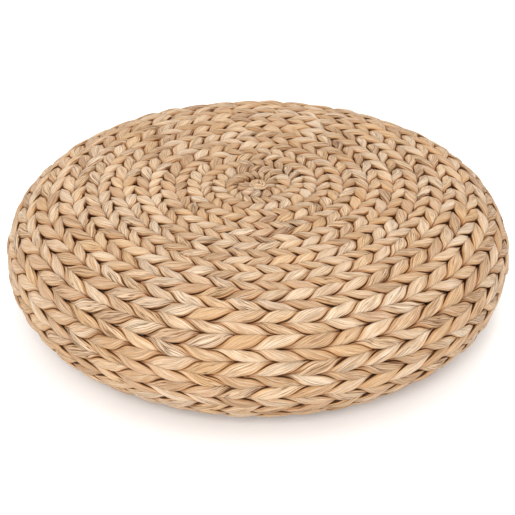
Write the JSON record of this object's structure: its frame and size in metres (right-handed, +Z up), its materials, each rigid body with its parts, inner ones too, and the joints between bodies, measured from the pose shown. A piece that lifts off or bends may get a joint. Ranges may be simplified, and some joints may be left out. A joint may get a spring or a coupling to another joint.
{
  "type": "round woven floor seat",
  "caption": "Low round seat pad of flat plant-fibre weavers, twined in herringbone rows round 48 wire stakes of a welded frame, with a flat seat face and a flat base.",
  "frame": {"origin": "on the floor, under the centre of the seat", "axes": "+Z up along the seat's axis; +X and +Y level; the weave's spiral starts 60 degrees anticlockwise from +X and runs anticlockwise outwards seen from above"},
  "size_m": [0.6, 0.5998, 0.17],
  "materials": {
    "weave_fibre": "matte dry plant fibre with fine lengthwise grain",
    "frame_wire": "satin brown powder coat"
  },
  "bodies": {
    "root": {"frame_base_inner_hoop": "frame_wire", "frame_base_outer_hoop": "frame_wire", "frame_middle_hoop": "frame_wire", "frame_stake_pair_01": "frame_wire", "frame_stake_pair_02": "frame_wire", "frame_stake_pair_03": "frame_wire", "frame_stake_pair_04": "frame_wire", "frame_stake_pair_05": "frame_wire", "frame_stake_pair_06": "frame_wire", "frame_stake_pair_07": "frame_wire", "frame_stake_pair_08": "frame_wire", "frame_stake_pair_09": "frame_wire", "frame_stake_pair_10": "frame_wire", "frame_stake_pair_11": "frame_wire", "frame_stake_pair_12": "frame_wire", "frame_stake_pair_13": "frame_wire", "frame_stake_pair_14": "frame_wire", "frame_stake_pair_15": "frame_wire", "frame_stake_pair_16": "frame_wire", "frame_stake_pair_17": "frame_wire", "frame_stake_pair_18": "frame_wire", "frame_stake_pair_19": "frame_wire", "frame_stake_pair_20": "frame_wire", "frame_stake_pair_21": "frame_wire", "frame_stake_pair_22": "frame_wire", "frame_stake_pair_23": "frame_wire", "frame_stake_pair_24": "frame_wire", "frame_top_inner_hoop": "frame_wire", "frame_top_outer_hoop": "frame_wire", "weave_base_centre_coil": "weave_fibre", "weave_base_lap_01": "weave_fibre", "weave_base_lap_02": "weave_fibre", "weave_base_lap_03": "weave_fibre", "weave_base_lap_04": "weave_fibre", "weave_base_lap_05": "weave_fibre", "weave_base_lap_06": "weave_fibre", "weave_base_lap_07": "weave_fibre", "weave_base_lap_08": "weave_fibre", "weave_base_lap_09": "weave_fibre", "weave_side_lap_01": "weave_fibre", "weave_side_lap_02": "weave_fibre", "weave_side_lap_03": "weave_fibre", "weave_top_centre_coil": "weave_fibre", "weave_top_lap_02": "weave_fibre", "weave_top_lap_03": "weave_fibre", "weave_top_lap_04": "weave_fibre", "weave_top_lap_05": "weave_fibre", "weave_top_lap_06": "weave_fibre", "weave_top_lap_07": "weave_fibre", "weave_top_lap_08": "weave_fibre", "weave_top_lap_09": "weave_fibre", "weave_top_lap_10": "weave_fibre"}
  },
  "joints": []
}
